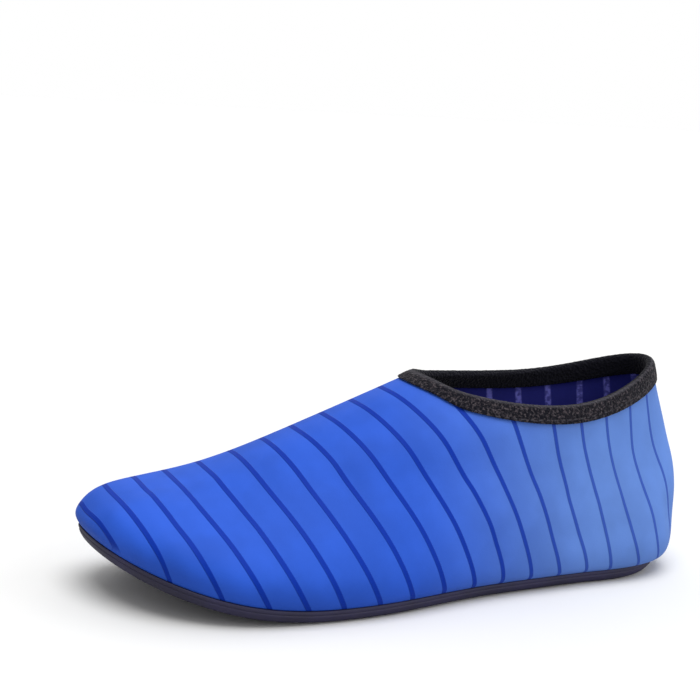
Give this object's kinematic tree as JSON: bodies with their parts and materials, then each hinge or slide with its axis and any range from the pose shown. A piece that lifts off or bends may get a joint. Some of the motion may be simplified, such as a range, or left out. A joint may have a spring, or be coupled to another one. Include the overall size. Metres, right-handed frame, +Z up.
{
  "type": "water shoe",
  "caption": "Low slip-on water shoe: a striped blue stretch upper with a black knitted collar binding on a thin rubber sole with a hexagon tread and round pads.",
  "frame": {"origin": "middle of the shoe's bounding box, on the ground plane that the sole stands on", "axes": "+X towards the toe, +Y towards the outer side of the foot, +Z up"},
  "size_m": [0.2514, 0.0976, 0.0875],
  "materials": {
    "sole_rubber": "matt charcoal rubber with a fine grain",
    "stretch_fabric": "smooth royal blue stretch fabric with darker embossed stripes",
    "knit_binding": "black flecked knit",
    "insole_foam": "dark cloth-faced foam"
  },
  "bodies": {
    "root": {"outsole": "sole_rubber", "upper": "stretch_fabric", "collar_binding": "knit_binding", "insole": "insole_foam"}
  },
  "joints": []
}
